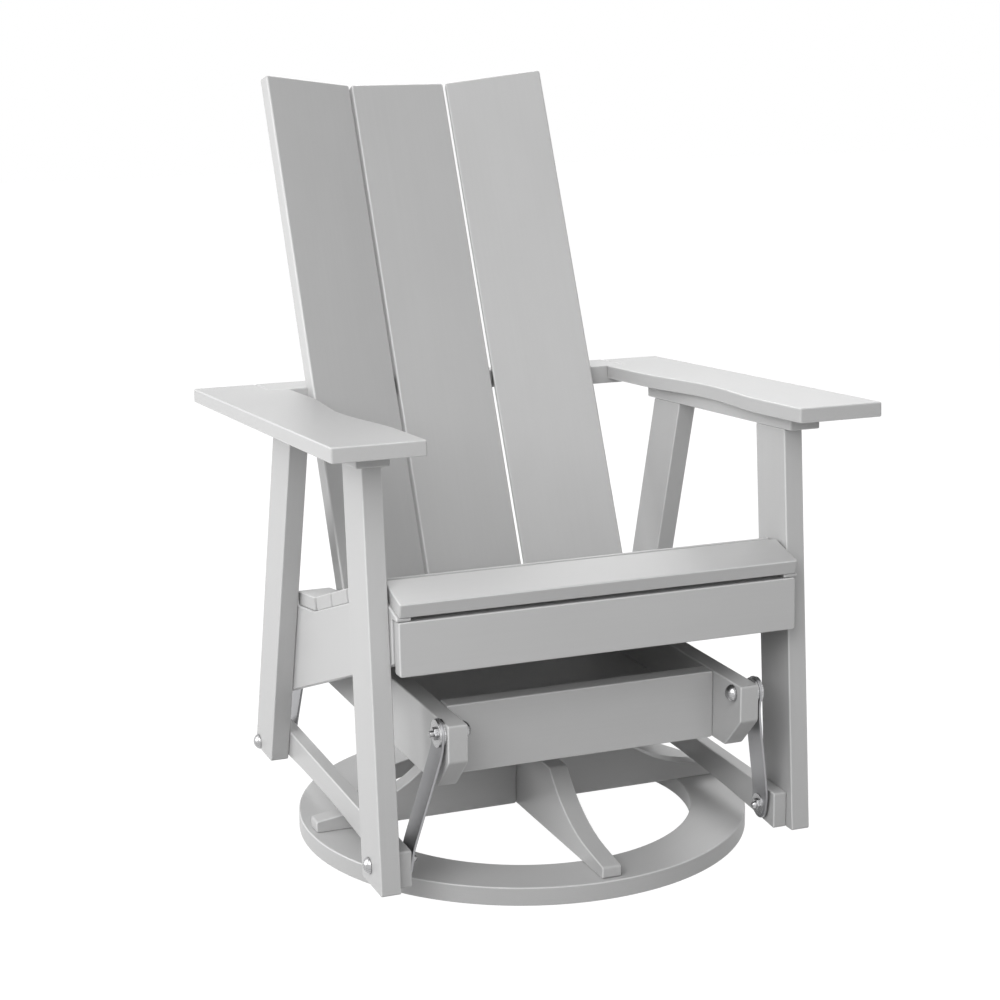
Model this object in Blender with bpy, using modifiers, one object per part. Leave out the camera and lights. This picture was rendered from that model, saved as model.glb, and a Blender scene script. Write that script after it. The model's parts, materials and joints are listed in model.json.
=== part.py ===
"""Swivel glider chair in plastic lumber.

A chair with a fan back of three slats hangs on four steel links from a glider box. The box turns on
a swivel above a cross that stands on a flat ring. Lengths are in metres, +Z is up, the chair faces
-Y. The pieces are placed from the swivel axis, and the whole stands on the middle of its own outline.
"""

import math

import bmesh
import bpy
from mathutils import Matrix, Vector

# Lumber stock, edges and gaps
thick_board = 0.027
thin_board = 0.0195
edge_round = 0.003
touch_gap = 0.0003
slat_gap = 0.0063
overrun = 0.01

# Base ring
ring_outer_radius = 0.318
ring_width = 0.0775
ring_thickness = 0.0255

# Cross on the ring
cross_tip_inset = 0.008
foot_tip_height = 0.016
foot_slope = math.radians(8)
cross_top_height = 0.0940
cross_flat_reach = 0.132
cross_start_slope = math.radians(50)

# Swivel between cross and glider box
plate_thickness = 0.006
lower_plate_side = 0.170
upper_plate_side = 0.220
spindle_radius = 0.017
spindle_flange_radius = 0.040
spindle_flange_height = 0.005
housing_outer_radius = 0.046
housing_wall = 0.018
cup_shoulder_share = 0.7
bearing_height = 0.005
running_gap = 0.0006
swivel_height = 0.0542
plate_corner_round = 0.012

# Glider box
link_room = 0.061
box_height = 0.0935
box_front_overhang = 0.021
box_rear_overhang = 0.0195
box_chamfer_rise = 0.044
box_chamfer_run = 0.0435
cross_board_setback = 0.078
panel_inset = 0.011

# Pivots of the four links
pivot_drop = 0.014
front_pivot_y = -0.2735
rear_pivot_y = 0.3055
link_length = 0.182
front_link_lean = 0.037
rear_link_lean = -0.018

# Links
link_width = 0.038
link_thickness = 0.0064
link_top_flat = 0.0235
link_bottom_flat = 0.0150
link_board_gap = 0.003
link_side_gap = 0.0005
pivot_clearance = 0.0004
open_pivot_clearance = 0.0022

# Fasteners
bolt_radius = 0.005
bolt_head_radius = 0.012
bolt_head_height = 0.0066
nut_radius = 0.0095
nut_height = 0.008
cap_nut_height = 0.0120
flange_thickness = 0.0018
flange_radius = 0.0115
stud_tip = 0.003
screw_radius = 0.0028
screw_head_radius = 0.0055
screw_head_height = 0.0035
foot_screw_length = 0.038

# Legs
leg_side_gap = 0.0032
leg_width = 0.0785
front_leg_foot_drop = 0.0263
front_leg_bottom_y = -0.2842
front_leg_lean = 0.0857
rear_leg_foot_drop = 0.0117
rear_leg_bottom_y = 0.2259
rear_leg_lean = -0.2957

# Stretchers between the legs
stretcher_front_inset = 0.0162
stretcher_foot_rise = 0.0005
stretcher_front_height = 0.0503
stretcher_rear_height = 0.0575
stretcher_rear_inset = 0.002
stretcher_crown_y = 0.090
stretcher_crown_rise = 0.0195

# Arms and the boards under them
arm_outer_overhang = 0.0518
arm_front_y = -0.3276
arm_rear_y = 0.346
arm_over_seat = 0.1955
arm_slope = math.radians(3.25)
arm_inner_overhang = 0.0243
arm_waist_depth = 0.0153
arm_waist_front_y = -0.222
arm_waist_rear_y = 0.150
arm_notch_step = 0.0167
support_outer_overhang = 0.0137
support_inner_overhang = 0.0037
support_front_y = -0.2584
support_rear_y = 0.1744

# Seat
seat_half_width = 0.2768
seat_slope = math.radians(18.6)
rear_slat_slope = math.radians(8)
nose_slope = math.radians(14.6)
nose_slat_width = 0.0640
nose_rear_y = -0.2264
first_slat_gap = 0.0164
first_slat_drop = 0.0022
seat_slat_width = 0.0705
plain_slat_count = 4
rear_slat_end_depth = 0.0834
rear_slat_gap = 0.0015
rear_slat_rise = 0.03962

# Apron and side rails
apron_front_y = -0.2842
apron_bottom_drop = 0.1109
apron_height = 0.0703
apron_lean = math.radians(1.9)
rail_bottom_drop = 0.0995
rail_bottom_slope = math.radians(20.2)
rail_rear_inset = 0.010

# Back
back_lean = math.radians(24.4)
back_side_room = 0.03528
back_slat_length = 0.818
back_slat_gap = 0.0036
back_fan = math.radians(18)
back_foot_y = 0.15498
back_foot_drop = 0.02294

# Back braces
upper_brace_depth = 0.0488
brace_over_box = 0.0115
lower_brace_depth = 0.0596
lower_brace_step = 0.0056

# Smoothness
ring_steps = 64
turned_steps = 16
screw_steps = 10
arc_steps = 8
corner_steps = 2
dome_steps = 3

# Angles that count as flat, as round and as an edge
flat_angle = math.radians(1)
smooth_angle = math.radians(35)
edge_angle = math.radians(40)
weld_distance = 0.00003

# Colours
lumber_grey = (0.62, 0.62, 0.62, 1.0)
steel_grey = (0.55, 0.55, 0.55, 1.0)
strap_grey = (0.40, 0.40, 0.40, 1.0)


def clear_scene():
    """Remove every object of the start-up scene."""
    for item in list(bpy.data.objects):
        bpy.data.objects.remove(item, do_unlink=True)


def new_collection(name, hidden=False):
    collection = bpy.data.collections.new(name)
    bpy.context.scene.collection.children.link(collection)
    collection.hide_render = hidden
    return collection


clear_scene()
chair = new_collection("swivel_glider_chair")
cutters = new_collection("cutters", hidden=True)


def material(name, colour, roughness, metallic):
    made = bpy.data.materials.new(name)
    made.use_nodes = True
    shader = made.node_tree.nodes["Principled BSDF"]
    shader.inputs["Base Color"].default_value = colour
    shader.inputs["Roughness"].default_value = roughness
    shader.inputs["Metallic"].default_value = metallic
    made.diffuse_color = colour
    return made


def lumber(name):
    return material(name, lumber_grey, 0.5, 0.0)


def steel(name):
    return material(name, steel_grey, 0.3, 1.0)


# Places that follow from the sizes above

leg_inner = seat_half_width + leg_side_gap
leg_outer_half_width = leg_inner + thick_board
rail_outer = leg_inner - touch_gap
rail_inner = rail_outer - thin_board
stretcher_inner = rail_outer - thin_board
box_outer_half_width = leg_inner - link_room
box_inner = box_outer_half_width - thick_board
support_outer_half_width = leg_outer_half_width + support_outer_overhang
support_inner_half_width = leg_inner - support_inner_overhang
arm_outer_half_width = support_outer_half_width + arm_outer_overhang
arm_inner_half_width = support_inner_half_width - arm_inner_overhang
back_room = rail_inner - back_side_room - back_slat_gap - thin_board * math.sin(back_fan)
back_slat_width = back_room / (1 / 2 + math.cos(back_fan))
box_front_y = front_pivot_y - box_front_overhang
box_rear_y = rear_pivot_y + box_rear_overhang
ring_inner_radius = ring_outer_radius - ring_width
foot_screw_reach = ring_outer_radius - ring_width / 2
ring_top = ring_thickness
cross_reach = ring_outer_radius - cross_tip_inset
cross_bottom = ring_top + touch_gap
cross_top = cross_bottom + cross_top_height
front_board_y = box_front_y + cross_board_setback
rear_board_y = box_rear_y - cross_board_setback
panel_bottom = cross_top + swivel_height
panel_top = panel_bottom + thick_board
box_bottom = panel_bottom - panel_inset
box_top = box_bottom + box_height
pivot_height = box_top - pivot_drop
lower_brace_top = box_top + brace_over_box + thick_board
back_foot_height = lower_brace_top - back_foot_drop
plain_slats_rise = plain_slat_count * (seat_slat_width + slat_gap) * math.sin(seat_slope)
seat_height = lower_brace_top + rear_slat_rise + plain_slats_rise + first_slat_drop
apron_bottom = seat_height - apron_bottom_drop
rail_front_bottom = seat_height - rail_bottom_drop
arm_front_height = seat_height + arm_over_seat


def pivot_below(upper_y, lean):
    """Lower pivot (y, z) of a link that hangs from the pivot height with the given lean."""
    drop = math.sqrt(link_length ** 2 - lean ** 2)
    return upper_y + lean, pivot_height - drop


front_upper = (front_pivot_y, pivot_height)
rear_upper = (rear_pivot_y, pivot_height)
front_lower = pivot_below(front_pivot_y, front_link_lean)
rear_lower = pivot_below(rear_pivot_y, rear_link_lean)
front_leg_bottom = front_lower[1] - front_leg_foot_drop
rear_leg_bottom = rear_lower[1] - rear_leg_foot_drop
stretcher_front_bottom = front_leg_bottom + stretcher_foot_rise
stretcher_front_top = stretcher_front_bottom + stretcher_front_height
stretcher_rear_top = stretcher_front_bottom + stretcher_rear_height
stretcher_crown_height = stretcher_front_bottom + stretcher_crown_rise


def arm_top_at(y):
    """Height of the arms' top face."""
    return arm_front_height - (y - arm_front_y) * math.tan(arm_slope)


def support_bottom_at(y):
    """Height of the underside of the boards under the arms."""
    return arm_top_at(y) - (2 * thin_board + touch_gap) / math.cos(arm_slope)


def back_face_y(z):
    """Front face of the middle back slat at a height."""
    return back_foot_y + (z - back_foot_height) * math.tan(back_lean)


front_reach = arm_front_y - thin_board * math.sin(arm_slope)
corner_loss = edge_round * (math.sin(back_lean) + math.cos(back_lean) - 1)
back_top_y = back_foot_y + back_slat_length * math.sin(back_lean)
rear_reach = back_top_y + thin_board * math.cos(back_lean) - corner_loss
axis_y = -(front_reach + rear_reach) / 2


# Joints as empties, from the floor up

def empty(name, location, parent=None):
    """Empty at a place measured from the swivel axis."""
    item = bpy.data.objects.new(name, None)
    chair.objects.link(item)
    item.location = location
    if parent is not None:
        item.parent = parent
        item.location = Vector(location) - axis_place[parent.name]
    axis_place[name] = Vector(location)
    return item


axis_place = {}
swivel_axis = empty("swivel_axis", (0, 0, 0))
swivel_axis.location = (0, axis_y, 0)
glider_box = empty("glider_box_pivot", (0, 0, cross_top), swivel_axis)
front_links = empty("front_links_pivot", (0, *front_upper), glider_box)
rear_links = empty("rear_links_pivot", (0, *rear_upper), glider_box)
glide_frame = empty("chair_pivot", (0, *front_lower), front_links)


def add_piece(name, mesh, matrix, parent, surface):
    """Object on its parent's axis, placed by a matrix measured from the swivel axis."""
    item = bpy.data.objects.new(name, mesh)
    chair.objects.link(item)
    mesh.materials.clear()
    mesh.materials.append(surface)
    item.parent = parent
    item.matrix_basis = Matrix.Translation(-axis_place[parent.name]) @ matrix
    return item


# Outlines

def rounded(points, radius):
    """Outline with each corner replaced by a short arc."""
    result = []
    count = len(points)
    for index in range(count):
        before = Vector(points[index - 1])
        corner = Vector(points[index])
        after = Vector(points[(index + 1) % count])
        one = (before - corner).normalized()
        two = (after - corner).normalized()
        half_angle = one.angle(two) / 2
        reach = radius / math.tan(half_angle)
        middle = corner + (one + two).normalized() * radius / math.sin(half_angle)
        start = corner + one * reach - middle
        sweep = (corner + two * reach - middle).angle_signed(start)
        for step in range(corner_steps + 1):
            turned = start.copy()
            turned.rotate(Matrix.Rotation(sweep * step / corner_steps, 2))
            result.append(tuple(middle + turned))
    return result


def circle(radius, steps):
    angles = [2 * math.pi * step / steps for step in range(steps)]
    return [(radius * math.cos(angle), radius * math.sin(angle)) for angle in angles]


def rectangle(low_u, high_u, low_v, high_v):
    return [(low_u, low_v), (high_u, low_v), (high_u, high_v), (low_u, high_v)]


def tilted_rectangle(corner, angle, length, depth):
    """Board section: from a corner, length along the angle, depth to its right-hand side below."""
    along = Vector((math.cos(angle), math.sin(angle)))
    down = Vector((math.sin(angle), -math.cos(angle)))
    start = Vector(corner)
    ends = (start, start + along * length, start + along * length + down * depth, start + down * depth)
    return [tuple(point) for point in ends]


# Solids

def prism_mesh(name, loops, thickness):
    """Closed mesh of a flat outline, with holes if more loops follow, of the given thickness."""
    outline = bpy.data.curves.new(name + "_outline", "CURVE")
    outline.dimensions = "2D"
    outline.fill_mode = "BOTH"
    outline.extrude = thickness / 2
    for loop in loops:
        spline = outline.splines.new("POLY")
        spline.points.add(len(loop) - 1)
        for point, (u, v) in zip(spline.points, loop):
            point.co = (u, v, 0, 1)
        spline.use_cyclic_u = True
    holder = bpy.data.objects.new(name + "_outline", outline)
    cutters.objects.link(holder)
    bpy.context.view_layer.update()
    graph = bpy.context.evaluated_depsgraph_get()
    mesh = bpy.data.meshes.new_from_object(holder.evaluated_get(graph))
    bpy.data.objects.remove(holder, do_unlink=True)
    bpy.data.curves.remove(outline)
    work = bmesh.new()
    work.from_mesh(mesh)
    bmesh.ops.remove_doubles(work, verts=work.verts, dist=weld_distance)
    bmesh.ops.dissolve_limit(work, angle_limit=flat_angle, verts=work.verts, edges=work.edges)
    bmesh.ops.recalc_face_normals(work, faces=work.faces)
    work.to_mesh(mesh)
    work.free()
    mesh.name = name
    return mesh


def soften(item):
    """Rounded edges on a piece of lumber."""
    bevel = item.modifiers.new("edges", "BEVEL")
    bevel.width = edge_round
    bevel.segments = 2
    bevel.limit_method = "ANGLE"
    bevel.angle_limit = edge_angle


side_view = Matrix(((0, 0, 1), (1, 0, 0), (0, 1, 0))).to_4x4()
front_view = Matrix(((1, 0, 0), (0, 0, -1), (0, 1, 0))).to_4x4()
top_view = Matrix.Identity(4)


def plank(name, loops, thickness, view, offset, parent):
    """Board cut from a flat outline drawn in a view, its middle plane at the offset along the view."""
    mesh = prism_mesh(name, loops, thickness)
    item = add_piece(name, mesh, view @ Matrix.Translation((0, 0, offset)), parent, lumber(name))
    soften(item)
    return item


def long_board(name, section, half_length, parent):
    """Board that runs across the chair, from its section in the side view."""
    return plank(name, [section], 2 * half_length, side_view, 0, parent)


def turned_mesh(name, profile, steps):
    """Closed turned solid from a profile at +X that runs down its outer side."""
    work = bmesh.new()
    points = [work.verts.new((radius, 0, height)) for radius, height in profile]
    for first, second in zip(points, points[1:]):
        work.edges.new((first, second))
    mesh = bpy.data.meshes.new(name + "_profile")
    work.to_mesh(mesh)
    work.free()
    holder = bpy.data.objects.new(name + "_profile", mesh)
    cutters.objects.link(holder)
    screw = holder.modifiers.new("turn", "SCREW")
    screw.steps = steps
    screw.render_steps = steps
    screw.use_merge_vertices = True
    screw.merge_threshold = weld_distance
    bpy.context.view_layer.update()
    graph = bpy.context.evaluated_depsgraph_get()
    turned = bpy.data.meshes.new_from_object(holder.evaluated_get(graph))
    bpy.data.objects.remove(holder, do_unlink=True)
    bpy.data.meshes.remove(mesh)
    turned.name = name
    turned.shade_smooth()
    turned.set_sharp_from_angle(angle=smooth_angle)
    return turned


def copies(name, mesh, places, parent):
    """One object for each named place, all sharing a mesh."""
    surface = steel(name)
    for place_name, matrix in places.items():
        add_piece(name + "_" + place_name, mesh, matrix, parent, surface)


def cut(item, cutter):
    """Boolean cut by a solid of the cutters' collection."""
    tool = item.modifiers.new("cut_" + cutter.name, "BOOLEAN")
    tool.operation = "DIFFERENCE"
    tool.solver = "EXACT"
    tool.object = cutter


def as_cutter(name, mesh, matrix):
    """Cutter placed by a matrix measured from the swivel axis."""
    item = bpy.data.objects.new(name, mesh)
    cutters.objects.link(item)
    item.parent = swivel_axis
    item.matrix_basis = matrix
    item.hide_render = True
    item.display_type = "WIRE"
    return item


def bore_along_x(name, pivot, radius, half_length):
    y, z = pivot
    mesh = prism_mesh(name, [circle(radius, turned_steps)], 2 * half_length)
    return as_cutter(name, mesh, Matrix.Translation((0, y, z)) @ side_view)


sides = {"left": -1, "right": 1}


# Bores shared by the boards on a pivot

bolt_bore = bolt_radius + touch_gap
full_half_width = leg_outer_half_width + overrun
front_lower_bore = bore_along_x("front_lower_bore", front_lower, bolt_bore, full_half_width)
rear_lower_bore = bore_along_x("rear_lower_bore", rear_lower, bolt_bore, full_half_width)
front_upper_bore = bore_along_x("front_upper_bore", front_upper, bolt_bore, full_half_width)
rear_upper_bore = bore_along_x("rear_upper_bore", rear_upper, bolt_bore, full_half_width)


# Base



def foot_screw_places():
    """Placing of the screw under each foot of the cross."""
    turns = {"right": 0, "rear": 1, "left": 2, "front": 3}
    return {foot: Matrix.Rotation(math.pi / 2 * turn, 4, "Z") @ Matrix.Translation((foot_screw_reach, 0, 0))
            for foot, turn in turns.items()}


def foot_screw_profile(clearance, below):
    """Countersunk screw, tip up, its head reaching below the floor face by the given length."""
    head = screw_head_radius + clearance
    shank = screw_radius + clearance
    length = foot_screw_length + clearance
    return [(0, length), (shank, length - screw_radius), (shank, screw_head_height),
            (head, touch_gap), (head, -below), (0, -below)]


def add_foot_screws():
    """Screws up through the ring into the feet; returns the cutter of their holes."""
    mesh = turned_mesh("foot_screw", foot_screw_profile(0, 0), screw_steps)
    raised = {foot: matrix @ Matrix.Translation((0, 0, touch_gap))
              for foot, matrix in foot_screw_places().items()}
    copies("foot_screw", mesh, raised, swivel_axis)
    bore = turned_mesh("foot_screw_bore", foot_screw_profile(touch_gap, overrun), screw_steps)
    return bores_from(bore, "foot_screw_bores", foot_screw_places().values())


def bores_from(mesh, name, places):
    """Several bores joined into one cutter."""
    work = bmesh.new()
    for matrix in places:
        before = len(work.verts)
        work.from_mesh(mesh)
        work.verts.ensure_lookup_table()
        bmesh.ops.transform(work, matrix=matrix, verts=work.verts[before:])
    joined = bpy.data.meshes.new(name)
    work.to_mesh(joined)
    work.free()
    return as_cutter(name, joined, Matrix.Identity(4))


def add_base_ring(screw_bores):
    loops = [circle(ring_outer_radius, ring_steps), circle(ring_inner_radius, ring_steps)]
    ring = plank("base_ring", loops, ring_thickness, top_view, ring_thickness / 2, swivel_axis)
    cut(ring, screw_bores)


def cross_outline():
    """Half of a cross board: flat underside, low tip, hollow curve up to the flat top."""
    tip = cross_bottom + foot_tip_height
    run = cross_reach - cross_flat_reach
    fall = cross_top - tip - run * math.tan(foot_slope)
    steep = cross_start_slope
    shape = (math.cos(foot_slope) - math.cos(steep)
             - (math.sin(steep) - math.sin(foot_slope)) * math.tan(foot_slope))
    radius = fall / shape
    centre_r = cross_flat_reach + radius * math.sin(steep)
    centre_z = cross_top + radius * math.cos(steep)
    curve = []
    for step in range(arc_steps + 1):
        slope = steep + (foot_slope - steep) * step / arc_steps
        curve.append((centre_r - radius * math.sin(slope), centre_z - radius * math.cos(slope)))
    return [*curve, (cross_reach, tip), (cross_reach, cross_bottom)]


def cross_board(name, notch_low, notch_high, view, screw_bores):
    """Whole cross board with its half-lap notch between two heights."""
    right = cross_outline()
    left = [(-u, v) for u, v in reversed(right)]
    half_notch = thick_board / 2 + touch_gap
    if notch_high >= cross_top:
        notch = [(-half_notch, cross_top), (-half_notch, notch_low),
                 (half_notch, notch_low), (half_notch, cross_top)]
        outline = left + notch + right
    else:
        notch = [(half_notch, cross_bottom), (half_notch, notch_high),
                 (-half_notch, notch_high), (-half_notch, cross_bottom)]
        outline = left + right + notch
    board = plank(name, [outline], thick_board, view, 0, swivel_axis)
    cut(board, screw_bores)


def add_base():
    screw_bores = add_foot_screws()
    add_base_ring(screw_bores)
    lap = (cross_bottom + cross_top) / 2
    cross_board("cross_front_back", lap - touch_gap / 2, cross_top, side_view, screw_bores)
    cross_board("cross_left_right", cross_bottom, lap + touch_gap / 2, front_view, screw_bores)


# Swivel

def plate_outline(side):
    half = side / 2
    return rounded(rectangle(-half, half, -half, half), plate_corner_round)


def plate_on_post(name, side, plate_middle, profile, bottom, parent):
    """Square plate with a turned post or cup welded to it, as one solid."""
    mesh = prism_mesh(name, [plate_outline(side)], plate_thickness)
    item = add_piece(name, mesh, Matrix.Translation((0, 0, plate_middle)), parent, steel(name))
    turned = turned_mesh(name + "_turned", profile, 2 * turned_steps)
    helper = as_cutter(name + "_turned", turned, Matrix.Translation((0, 0, bottom)))
    weld = item.modifiers.new("weld", "BOOLEAN")
    weld.operation = "UNION"
    weld.solver = "EXACT"
    weld.object = helper
    return item


def add_swivel():
    """Spindle plate on the cross, thrust ring, and the cup plate under the panel."""
    weld_depth = plate_thickness / 2
    lower_middle = cross_top + touch_gap + plate_thickness / 2
    upper_middle = panel_bottom - touch_gap - plate_thickness / 2
    spindle_bottom = lower_middle
    spindle_height = upper_middle - weld_depth - running_gap - spindle_bottom
    flange = weld_depth + spindle_flange_height
    plate_on_post("swivel_lower_plate", lower_plate_side, lower_middle,
                  [(0, spindle_height), (spindle_radius, spindle_height), (spindle_radius, flange),
                   (spindle_flange_radius, flange), (spindle_flange_radius, 0), (0, 0)],
                  spindle_bottom, swivel_axis)

    bearing_bottom = spindle_bottom + flange + touch_gap
    ring_in = spindle_radius + running_gap
    thrust_ring = turned_mesh("swivel_thrust_ring",
                              [(ring_in, bearing_height), (spindle_flange_radius, bearing_height),
                               (spindle_flange_radius, 0), (ring_in, 0), (ring_in, bearing_height)],
                              2 * turned_steps)
    add_piece("swivel_thrust_ring", thrust_ring, Matrix.Translation((0, 0, bearing_bottom)), glider_box,
              material("swivel_thrust_ring", strap_grey, 0.5, 0.0))

    cup_bottom = bearing_bottom + bearing_height + touch_gap
    cup_height = upper_middle - cup_bottom
    waist = ring_in + housing_wall
    shoulder = cup_height * cup_shoulder_share
    plate_on_post("swivel_upper_plate", upper_plate_side, upper_middle,
                  [(ring_in, cup_height), (housing_outer_radius, cup_height),
                   (housing_outer_radius, shoulder), (waist, shoulder - housing_wall / 2),
                   (waist, 0), (ring_in, 0), (ring_in, cup_height)],
                  cup_bottom, glider_box)


# Glider box

def add_panel():
    front = front_board_y + thick_board + touch_gap
    rear = rear_board_y - thick_board - touch_gap
    half = box_inner - touch_gap
    outline = rectangle(-half, half, front, rear)
    plank("swivel_panel", [outline], thick_board, top_view, panel_top - thick_board / 2, glider_box)


def side_board_outline():
    """Side board: upright ends, lower corners cut off."""
    low_front = box_front_y + box_chamfer_run
    low_rear = box_rear_y - box_chamfer_run
    shoulder = box_bottom + box_chamfer_rise
    return [(low_front, box_bottom), (low_rear, box_bottom), (box_rear_y, shoulder),
            (box_rear_y, box_top), (box_front_y, box_top), (box_front_y, shoulder)]


def add_glider_box():
    for side, sign in sides.items():
        offset = sign * (box_outer_half_width - thick_board / 2)
        board = plank("glider_side_board_" + side, [side_board_outline()], thick_board, side_view,
                      offset, glider_box)
        cut(board, front_upper_bore)
        cut(board, rear_upper_bore)
    half = box_inner - touch_gap
    front = rectangle(front_board_y, front_board_y + thick_board, box_bottom, box_top)
    rear = rectangle(rear_board_y - thick_board, rear_board_y, box_bottom, box_top)
    long_board("glider_front_board", front, half, glider_box)
    long_board("glider_rear_board", rear, half, glider_box)
    add_panel()


# Links

link_inner_top = box_outer_half_width + link_board_gap
link_outer_bottom = stretcher_inner - link_board_gap


def link_band(lower):
    """Bent strap seen from the front: flat at both ends, slanted outwards between."""
    low_z = lower[1]
    top = pivot_height + link_width / 2
    bottom = low_z - link_width / 2
    bend_top = pivot_height - link_top_flat
    bend_low = low_z + link_bottom_flat
    inner_low = link_outer_bottom - link_thickness
    inner = [(link_inner_top, top), (link_inner_top, bend_top), (inner_low, bend_low), (inner_low, bottom)]
    outer = [(x + link_thickness, z) for x, z in reversed(inner)]
    return inner + outer


def link_face(upper, lower):
    """Strap seen from the side: straight edges between two round ends on the pivots."""
    top = Vector(upper)
    low = Vector(lower)
    along = (top - low).normalized()
    across = Vector((along.y, -along.x))
    radius = link_width / 2
    points = []
    for centre, turn in ((top, 0), (low, math.pi)):
        for step in range(arc_steps + 1):
            angle = turn + math.pi * step / arc_steps
            spoke = across * math.cos(angle) + along * math.sin(angle)
            points.append(tuple(centre + spoke * radius))
    return points


def add_link(name, sign, upper, lower, lower_hole, parent):
    band = link_band(lower)
    if sign < 0:
        band = [(-x, z) for x, z in reversed(band)]
    middle_y = (upper[0] + lower[0]) / 2
    breadth = link_width + abs(upper[0] - lower[0]) + overrun
    mesh = prism_mesh(name, [band], breadth)
    matrix = Matrix.Translation((0, middle_y, 0)) @ front_view
    item = add_piece(name, mesh, matrix, parent, material(name, strap_grey, 0.35, 1.0))
    face = prism_mesh(name + "_face", [link_face(upper, lower)], 2 * full_half_width)
    face_cutter = as_cutter(name + "_face", face, side_view)
    trim = item.modifiers.new("face", "BOOLEAN")
    trim.operation = "INTERSECT"
    trim.solver = "EXACT"
    trim.object = face_cutter
    upper_eye = bore_along_x(name + "_upper_eye", upper, bolt_radius + pivot_clearance, full_half_width)
    lower_eye = bore_along_x(name + "_lower_eye", lower, lower_hole, full_half_width)
    cut(item, upper_eye)
    cut(item, lower_eye)


def add_links():
    snug = bolt_radius + pivot_clearance
    loose = bolt_radius + open_pivot_clearance
    for side, sign in sides.items():
        add_link("front_link_" + side, sign, front_upper, front_lower, snug, front_links)
        add_link("rear_link_" + side, sign, rear_upper, rear_lower, loose, rear_links)


# Pivot hardware

def dome(radius, height, rim):
    """Profile of a domed head from its top down to its rim's height."""
    angles = [math.pi / 2 * (step + 1) / dome_steps for step in range(dome_steps)]
    round_side = [(radius * math.sin(angle), rim + height * math.cos(angle)) for angle in angles]
    return [(0, rim + height), *round_side]


def dome_bolt_mesh(length):
    shank = [(bolt_radius, 0), (bolt_radius, -length), (0, -length)]
    return turned_mesh("dome_bolt", dome(bolt_head_radius, bolt_head_height, 0) + shank, turned_steps)


def pivot_places(x, front, rear, facing):
    """Placing at each side and pivot; facing 1 points outwards, -1 towards the middle."""
    places = {}
    for end, pivot in (("front", front), ("rear", rear)):
        for side, sign in sides.items():
            outward = Matrix.Rotation(sign * facing * math.pi / 2, 4, "Y")
            places[end + "_" + side] = Matrix.Translation((sign * x, *pivot)) @ outward
    return places


def flange_nut_mesh():
    """Hexagon nut on a round flange, bored through."""
    bore = bolt_radius + touch_gap
    flange = turned_mesh("flange_nut",
                         [(bore, flange_thickness + touch_gap), (flange_radius, flange_thickness + touch_gap),
                          (flange_radius, 0), (bore, 0), (bore, flange_thickness + touch_gap)],
                         turned_steps)
    hexagon = prism_mesh("hexagon", [circle(nut_radius, 6), circle(bore, turned_steps)], nut_height)
    helper = as_cutter("hexagon", hexagon, Matrix.Translation((0, 0, flange_thickness + nut_height / 2)))
    holder = bpy.data.objects.new("flange_nut", flange)
    cutters.objects.link(holder)
    holder.parent = swivel_axis
    joined = holder.modifiers.new("weld", "BOOLEAN")
    joined.operation = "UNION"
    joined.solver = "EXACT"
    joined.object = helper
    bpy.context.view_layer.update()
    graph = bpy.context.evaluated_depsgraph_get()
    mesh = bpy.data.meshes.new_from_object(holder.evaluated_get(graph))
    bpy.data.objects.remove(holder, do_unlink=True)
    return mesh


def add_upper_hardware():
    """Dome heads inside the box, bolts through board and link, flange nuts outside."""
    head_x = box_inner - touch_gap
    nut_x = link_inner_top + link_thickness + link_side_gap
    bolt_length = nut_x + flange_thickness + nut_height + stud_tip - head_x
    copies("upper_pivot_bolt", dome_bolt_mesh(bolt_length),
           pivot_places(head_x, front_upper, rear_upper, -1), glider_box)
    copies("upper_pivot_nut", flange_nut_mesh(),
           pivot_places(nut_x, front_upper, rear_upper, 1), glider_box)


def add_lower_hardware():
    """Dome heads outside the legs, bolts through leg, stretcher and link, cap nuts inside."""
    head_x = leg_outer_half_width + touch_gap
    nut_x = link_outer_bottom - link_thickness - link_side_gap
    nut_bore_depth = cap_nut_height / 2
    bolt_length = head_x - nut_x + nut_bore_depth - touch_gap
    copies("lower_pivot_bolt", dome_bolt_mesh(bolt_length),
           pivot_places(head_x, front_lower, rear_lower, 1), glide_frame)
    bore = bolt_radius + touch_gap
    profile = [*dome(nut_radius, cap_nut_height - flange_thickness, flange_thickness),
               (flange_radius, flange_thickness), (flange_radius, 0),
               (bore, 0), (bore, nut_bore_depth), (0, nut_bore_depth)]
    copies("lower_pivot_cap_nut", turned_mesh("cap_nut", profile, turned_steps),
           pivot_places(nut_x, front_lower, rear_lower, -1), glide_frame)


# Side frames

def leg_outline(bottom, bottom_y, lean):
    """Leg seen from the side: level foot, leaning edges, top cut along the arm's slope."""
    breadth = leg_width * math.sqrt(1 + lean ** 2)

    def top_point(start_y):
        slope = math.tan(arm_slope)
        level = support_bottom_at(start_y) - touch_gap
        height = (level - bottom) / (1 + lean * slope)
        return start_y + lean * height, bottom + height

    return [(bottom_y, bottom), (bottom_y + breadth, bottom), top_point(bottom_y + breadth),
            top_point(bottom_y)]


def add_legs():
    front = leg_outline(front_leg_bottom, front_leg_bottom_y, front_leg_lean)
    rear = leg_outline(rear_leg_bottom, rear_leg_bottom_y, rear_leg_lean)
    for side, sign in sides.items():
        offset = sign * (leg_outer_half_width - thick_board / 2)
        front_leg = plank("front_leg_" + side, [front], thick_board, side_view, offset, glide_frame)
        cut(front_leg, front_lower_bore)
        rear_leg = plank("rear_leg_" + side, [rear], thick_board, side_view, offset, glide_frame)
        cut(rear_leg, rear_lower_bore)


def rear_leg_edge_y(z, inset):
    """Rear edge of the rear leg at a height, less an inset."""
    breadth = leg_width * math.sqrt(1 + rear_leg_lean ** 2)
    return rear_leg_bottom_y + breadth + rear_leg_lean * (z - rear_leg_bottom) - inset


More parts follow.
